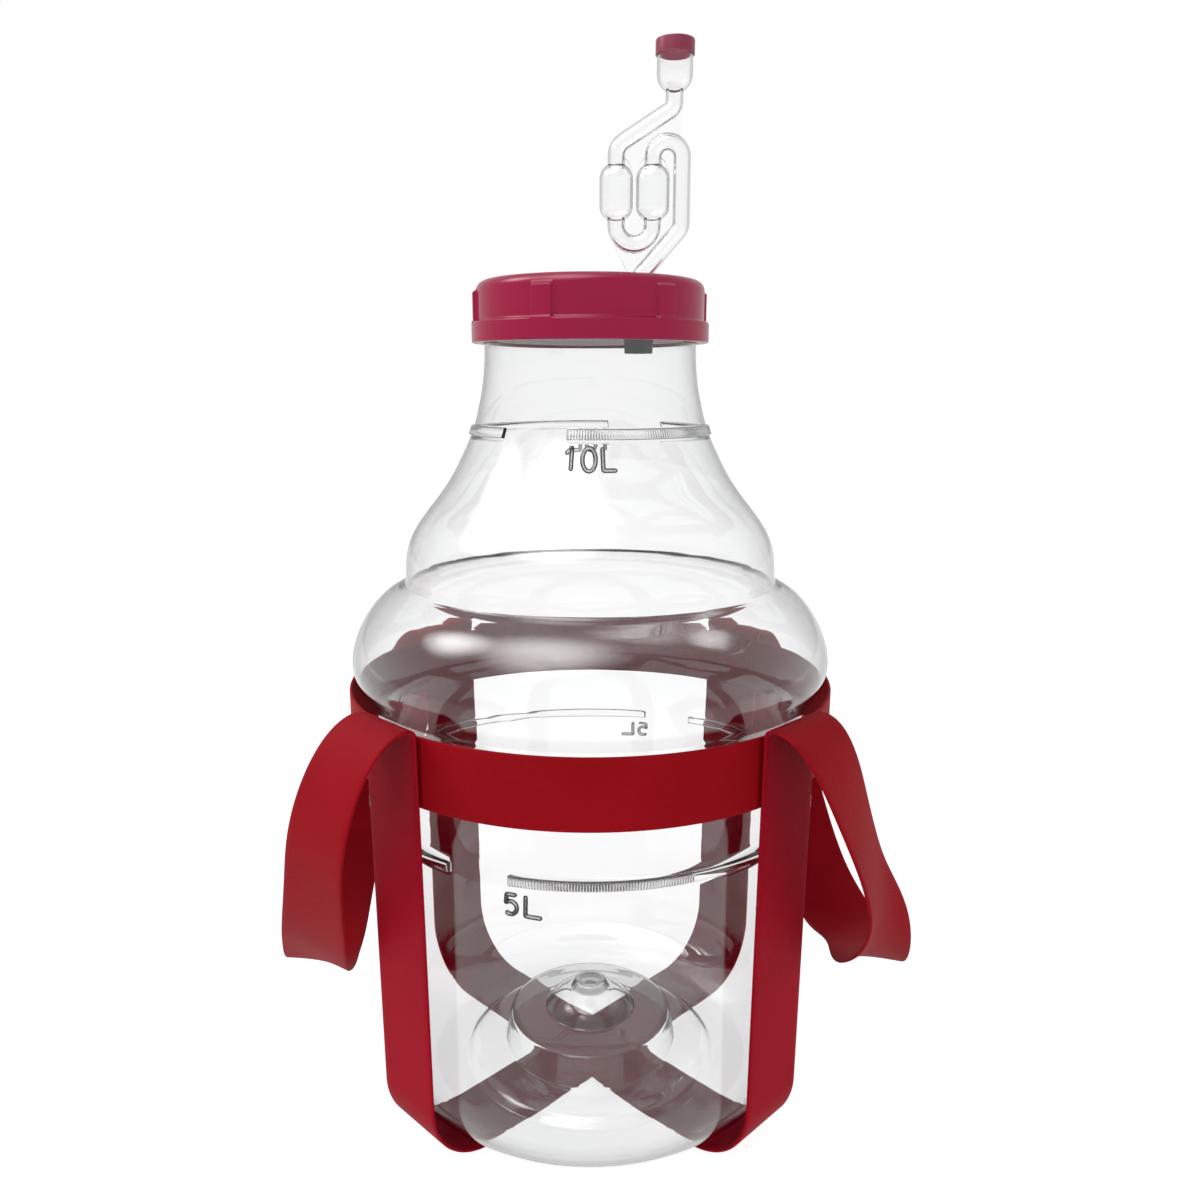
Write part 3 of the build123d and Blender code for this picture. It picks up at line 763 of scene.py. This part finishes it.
def jar_details(n, tone, relief):
    """tone and relief with the jar's ribs and the thick top of its push-up worked in.

    The push-up's top carries painted shade where it is steep, and so do the ribs' sides, where the surface turns
    away from the jar's axis. Part of each rib carries fine upright ridges, sin(2 pi radius angle / RIDGE),
    striped with painted shade.
    """
    x, y, z = n.split(n.place)
    flat = n.node("CombineXYZ", X=x, Y=y).outputs["Vector"]
    normal = n.node("NewGeometry").outputs["Normal"]
    lean = n.vector("DOT_PRODUCT", normal, n.vector("NORMALIZE", flat))
    # Painted shade on the ribs' sides, darker where the surface turns away from the axis.
    rib_painted_shade = n.ramp(n.math("ABSOLUTE", lean), [
        (0.3, rgba(0.10, 0.10, 0.105)), (0.6, rgba(0.3, 0.3, 0.305)), (0.85, grey(1.0))])
    # Painted shade on the push-up's top, darker where it is steep.
    thick = n.ramp(n.math("ABSOLUTE", n.split(normal)[2]), [
        (0.25, rgba(0.22, 0.22, 0.225)), (0.6, rgba(0.5, 0.5, 0.505)), (0.9, grey(1.0))])
    nub = n.math("MULTIPLY", n.math("LESS_THAN", n.vector("LENGTH", flat), NUB_REACH),
                 n.math("MULTIPLY", n.math("GREATER_THAN", z, NUB_LOW), n.math("LESS_THAN", z, NUB_TOP)))
    tone = n.mix(nub, tone, thick)
    angle = n.math("ARCTAN2", x, n.math("MULTIPLY", y, -1.0))
    for height, radius, first, last, shade in RIDGED:
        ridge = n.math("SINE", n.math("MULTIPLY", angle, radius * 2 * math.pi / RIDGE))
        inside = n.math("MULTIPLY", n.math("GREATER_THAN", angle, math.radians(first)),
                        n.math("LESS_THAN", angle, math.radians(last)))
        ridged = n.math("MULTIPLY", n.math("COMPARE", z, height * MM, 0.0017), inside)
        relief = n.math("ADD", relief, n.math("MULTIPLY", n.math("MULTIPLY", ridge, 0.00012), ridged))
        tone = n.mix(n.math("COMPARE", z, height * MM, 0.0026), tone, rib_painted_shade)
        # Painted shade in stripes along the ridges.
        tone = n.mix(n.math("MULTIPLY", n.math("GREATER_THAN", ridge, 0.35), ridged), tone, grey(shade))
    return tone, relief


def clear_plastic(name, absorb, tint, wave, rim, details=None):
    """Clear plastic: it refracts, absorbs along its wall and darkens where it is seen edge on.

    rim is that painted shade as (facing, level) stops, wave the height of its ripple in metres, and details a
    function that works more into its tone and relief.
    """
    n = Material(name)
    facing = n.node("LayerWeight", Blend=0.5).outputs["Facing"]
    # Painted shade: this ramp darkens the base colour where the surface is seen edge on.
    edge = n.ramp(facing, [(at, grey(level)) for at, level in ((0.0, 1.0), *rim)])
    drift = n.ramp(n.noise(n.place, 14.0), [(0.3, rgba(0.985, 0.99, 0.99)), (0.7, grey(1.0))])
    tone = n.mix(1.0, edge, drift)
    relief = n.math("MULTIPLY", n.noise(n.place, 22.0, 2.0), wave)
    if details:
        tone, relief = details(n, tone, relief)
    volume = n.node("VolumeAbsorption", Color=tint, Density=absorb)
    n.set(n.out.inputs["Volume"], volume.outputs["Volume"])
    return n.done(Base_Color=tone, Roughness=n.range(n.noise(n.place, 45.0), 0.0, 0.02),
                  Transmission_Weight=1.0, IOR=1.5, Normal=n.bump(relief, 1.0))


def webbing_cloth(name, deep, bright):
    """Woven webbing: yarn colour that varies a little, a plain weave's relief and a soft sheen.

    The weave is sin(2 pi u / 1.8 mm) sin(2 pi v / 2.2 mm), on u across and v along the webbing's own map.
    """
    n = Material(name)
    own = n.node("UVMap", uv_map="weave").outputs["UV"]
    u, v, _ = n.split(own)
    weave = n.math("MULTIPLY", n.math("SINE", n.math("MULTIPLY", u, 2 * math.pi / 0.0018)),
                   n.math("SINE", n.math("MULTIPLY", v, 2 * math.pi / 0.0022)))
    tone = n.math("ADD", n.math("MULTIPLY", weave, 0.10), n.noise(n.place, 18.0, 4.0))
    return n.done(Base_Color=n.ramp(tone, [(0.25, deep), (0.75, bright)]),
                  Roughness=n.range(n.noise(own, 900.0), 0.5, 0.68),
                  Specular_IOR_Level=0.07, Sheen_Weight=0.012, Normal=n.bump(weave, 0.00006, 0.6))


def moulded_plastic(name, deep, bright, rough=(0.26, 0.36), grain=0.00002, through=0.0):
    """Moulded plastic: satin, with faint flow shading and a fine grain.

    through is the share of the light that it lets pass.
    """
    n = Material(name)
    return n.done(Base_Color=n.ramp(n.noise(n.place, 9.0, 4.0), [(0.3, deep), (0.7, bright)]),
                  Roughness=n.range(n.noise(n.place, 60.0), *rough),
                  Specular_IOR_Level=0.3, Transmission_Weight=through,
                  Normal=n.bump(n.noise(n.place, 1400.0, 2.0), grain, 0.5))


# World, floor, lamps and camera

IN_GLOSS = 0.68      # the studio as mirrored in the object: darker than the white it stands against
THROUGH_JAR = 0.75   # light that has crossed the jar to what stands behind it


def path_share(n, in_gloss, through_jar):
    """The share of its light that a ray brings, as a socket.

    It is in_gloss after a mirror bounce, through_jar where the light has crossed the jar's walls to
    reach what stands behind them, the two multiplied where both hold, and else 1.
    """
    path = n.node("LightPath").outputs
    mirrored = n.math("MINIMUM", path["Glossy Depth"], 1.0)
    crossed = n.math("MULTIPLY", n.math("GREATER_THAN", path["Transmission Depth"], 5.5),
                     n.math("GREATER_THAN", path["Diffuse Depth"], 0.5))
    return n.math("MULTIPLY", n.math("MULTIPLY_ADD", mirrored, in_gloss - 1, 1.0),
                  n.math("MULTIPLY_ADD", crossed, through_jar - 1, 1.0))


def make_world():
    """White to the camera. To all else a pale sky, darker overhead for the edges of clear plastic.

    After a mirror bounce the sky is another, a little brighter overhead.
    """
    world = bpy.data.worlds.new("studio")
    bpy.context.scene.world = world
    world.use_nodes = True
    n = Nodes(world.node_tree)
    up = n.split(n.node("TexCoord").outputs["Generated"])[2]
    rise = n.math("MULTIPLY_ADD", up, 0.5, 0.5)
    sky = n.ramp(rise, [(0.0, grey(0.9)), (0.45, grey(1.0)), (0.72, grey(1.0)), (0.86, grey(0.4)),
                        (1.0, rgba(0.25, 0.25, 0.26))])
    gloss = n.ramp(rise, [(0.0, grey(1.0)), (0.86, grey(1.0)), (0.93, grey(1.4)), (0.97, grey(1.8)),
                          (1.0, grey(1.6))])
    path = n.node("LightPath").outputs
    seen = n.mix(path["Is Camera Ray"], sky, grey(1.0), "MIX")
    back = n.tree.nodes["Background"]
    n.set(back.inputs["Color"], n.mix(n.math("MINIMUM", path["Glossy Depth"], 1.0), seen, gloss, "MIX"))
    n.set(back.inputs["Strength"], path_share(n, IN_GLOSS, THROUGH_JAR))


def make_floor():
    """A wide white floor, part its own light to the camera, that keeps a soft shadow."""
    n = Material("floor_white")
    path = n.node("LightPath").outputs
    seen = n.math("MAXIMUM", path["Is Camera Ray"],
                  n.math("MAXIMUM", path["Is Transmission Ray"], path["Is Glossy Ray"]))
    glow = n.node("Emission", Color=n.ramp(seen, [(0.0, grey(0.0)), (1.0, grey(0.88))]),
                  Strength=path_share(n, IN_GLOSS, THROUGH_JAR))
    both = n.node("AddShader")
    n.set(both.inputs[0], n.shader.outputs["BSDF"])
    n.set(both.inputs[1], glow.outputs["Emission"])
    n.set(n.out.inputs["Surface"], both.outputs["Shader"])
    mesh = bpy.data.meshes.new("floor")
    mesh.from_pydata([(-4, -4, 0), (4, -4, 0), (4, 4, 0), (-4, 4, 0)], [], [(0, 1, 2, 3)])
    mesh.materials.append(n.done(Base_Color=n.ramp(seen, [(0.0, grey(0.94)), (1.0, grey(0.34))]),
                                 Roughness=0.9, Specular_IOR_Level=0.0))
    floor = bpy.data.objects.new("floor", mesh)
    bpy.context.scene.collection.objects.link(floor)


def area_lamp(name, place, aim, size, power, mirrored=True, lights=True):
    """A lamp that faces aim, faded from its middle to nothing at its edge: (1 - 4 d^2)^2, d from the middle.

    mirrored says whether gloss and clear plastic show it, and lights whether it lights the object.
    """
    data = bpy.data.lights.new(name, "AREA")
    data.size = size
    data.energy = power
    data.use_nodes = True
    n = Nodes(data.node_tree)
    d = n.vector("DISTANCE", n.node("NewGeometry").outputs["Parametric"], (0.5, 0.5, 0.0))
    left = n.math("SUBTRACT", 1.0, n.math("POWER", n.math("MULTIPLY", d, 2.0), 2.0), clamp=True)
    share = n.math("MULTIPLY", n.math("POWER", left, 2.0), path_share(n, 1.0, THROUGH_JAR))
    n.set(n.tree.nodes["Emission"].inputs["Strength"], share)
    lamp = bpy.data.objects.new(name, data)
    bpy.context.scene.collection.objects.link(lamp)
    lamp.visible_glossy = lamp.visible_transmission = mirrored
    lamp.visible_diffuse = lights
    lamp.location = place
    way = np.array(aim) - np.array(place)
    flat = math.hypot(way[0], way[1])
    lamp.rotation_euler = Euler((math.atan2(flat, -way[2]), 0, math.atan2(way[1], way[0]) - math.pi / 2))


def make_camera():
    """The photograph's view: 478 mm in front of the jar's axis, 348 mm up, looking 12 degrees down."""
    data = bpy.data.cameras.new("camera")
    data.sensor_width = 36.0
    data.lens = 30.243
    data.shift_x = 9.8 / 1200
    data.clip_start = 0.01
    camera = bpy.data.objects.new("camera", data)
    bpy.context.scene.collection.objects.link(camera)
    camera.location = (0, -0.478, 0.3485)
    camera.rotation_euler = (math.radians(90 - 12.231), 0, 0)
    bpy.context.scene.camera = camera


def smooth_cad(node, mat):
    """A CAD node kept as it is: its triangles joined, smooth but for its sharp edges, in its own material."""
    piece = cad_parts[node]
    faces = piece.data.polygons
    piece.data.materials.clear()
    piece.data.materials.append(mat)
    faces.foreach_set("use_smooth", np.ones(len(faces), bool))
    faces.foreach_set("material_index", np.zeros(len(faces), np.int32))
    piece.modifiers.new("joined", "WELD").merge_threshold = 1e-6
    piece.modifiers.new("edges", "EDGE_SPLIT").split_angle = math.radians(32)


bpy.context.scene.view_settings.view_transform = "Standard"
make_world()
make_floor()
make_camera()
area_lamp("key", (-0.80, -0.06, 0.93), (0, 0, 0.24), 0.62, 12.0, mirrored=False)
area_lamp("gleam", (-0.917, -0.002, 1.148), (-0.055, -0.092, 0.246), 0.85, 21.0, lights=False)
area_lamp("glow", (-0.349, -0.49, 1.335), (-0.019, -0.107, 0.2465), 1.5, 46.0, lights=False)
area_lamp("front", (-0.5, -1.3, 1.2), (0, 0, 0.25), 0.8, 8.0, mirrored=False)
area_lamp("fill", (1.1, -0.9, 0.8), (0, 0, 0.25), 0.8, 4.0, mirrored=False)

# The rims below are painted shade where the surface is seen edge on: the level marks are near black unless seen
# face on.
jar_plastic = clear_plastic(
    "jar_plastic_clear", 30.0, rgba(0.3, 0.31, 0.32), 0.00012, ((0.45, 0.985), (0.75, 0.83), (1.0, 0.2)),
    jar_details)
mark_plastic = clear_plastic(
    "level_mark_plastic_clear", 150.0, rgba(0.3, 0.31, 0.32), 0.00004, ((0.02, 0.6), (0.16, 0.03), (1.0, 0.005)))
lock_plastic = clear_plastic(
    "airlock_plastic_clear", 20.0, rgba(0.35, 0.34, 0.35), 0.00002, ((0.5, 0.99), (0.78, 0.82), (1.0, 0.08)))
gusset_plastic = clear_plastic(
    "airlock_gusset_clear", 20.0, rgba(0.35, 0.34, 0.35), 0.00002, ((0.45, 1.0), (0.8, 0.3), (1.0, 0.02)))
belt_cloth = webbing_cloth("belt_webbing_red", rgba(0.28, 0.001, 0.005), rgba(0.35, 0.0015, 0.008))
strap_cloth = webbing_cloth("strap_webbing_red", rgba(0.31, 0.0005, 0.010), rgba(0.38, 0.001, 0.015))
handle_cloth = webbing_cloth("handle_webbing_red", rgba(0.28, 0.001, 0.006), rgba(0.35, 0.0015, 0.009))
lid_plastic = moulded_plastic(
    "lid_plastic_crimson", rgba(0.31, 0.001, 0.040), rgba(0.35, 0.0015, 0.048), rough=(0.16, 0.24))
cap_plastic = moulded_plastic(
    "cap_plastic_pink", rgba(0.46, 0.05, 0.13), rgba(0.52, 0.065, 0.15), through=0.65)
insert_plastic = moulded_plastic("insert_plastic_natural", rgba(0.84, 0.85, 0.84), rgba(0.92, 0.93, 0.92))
bung_rubber = moulded_plastic(
    "bung_rubber_grey", rgba(0.10, 0.104, 0.108), rgba(0.135, 0.14, 0.145), rough=(0.55, 0.7), grain=0.00005)
seal_rubber = moulded_plastic(
    "seal_rubber_pale", rgba(0.55, 0.54, 0.5), rgba(0.62, 0.61, 0.57), rough=(0.5, 0.65), grain=0.00005)

vessel = make_jar(jar_plastic)
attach(vessel, "jar")
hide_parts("vessel")

belt = make_belt(belt_cloth)
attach(belt, "jar")
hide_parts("belt")

strap_low = make_strap("strap_lower_web", 45, 0.0, strap_cloth)
strap_up = make_strap("strap_upper_web", -45, WEB + 0.2, strap_cloth)
for strap, node in ((strap_low, "strap_lower"), (strap_up, "strap_upper")):
    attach(strap, "jar")
    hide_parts(node)

for name, side, stations, length, node in (
        ("handle_left_web", -1, LEFT_STATIONS, 0.447, "handle_left"),
        ("handle_right_web", 1, RIGHT_STATIONS, 0.448, "handle_right")):
    handle = make_handle(name, side, stations, handle_cloth)
    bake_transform(handle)
    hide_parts(node)

for name, (level, middle, radius, strokes) in MARKS.items():
    mark = make_marks("mark_" + name, level, middle, radius, strokes, mark_plastic)
    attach(mark, "jar")

lid = make_lid(lid_plastic)
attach(lid, "screw_lid")
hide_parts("lid")
smooth_cad("lid_insert", insert_plastic)
seal = make_seal(seal_rubber)
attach(seal, "jar")
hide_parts("rim_seal")
smooth_cad("bung", bung_rubber)
lock = make_lock(lock_plastic)
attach(lock, "fermentation_lock")
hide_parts("airlock")
gusset = make_gusset(gusset_plastic)
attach(gusset, "fermentation_lock")
smooth_cad("airlock_cap", cap_plastic)
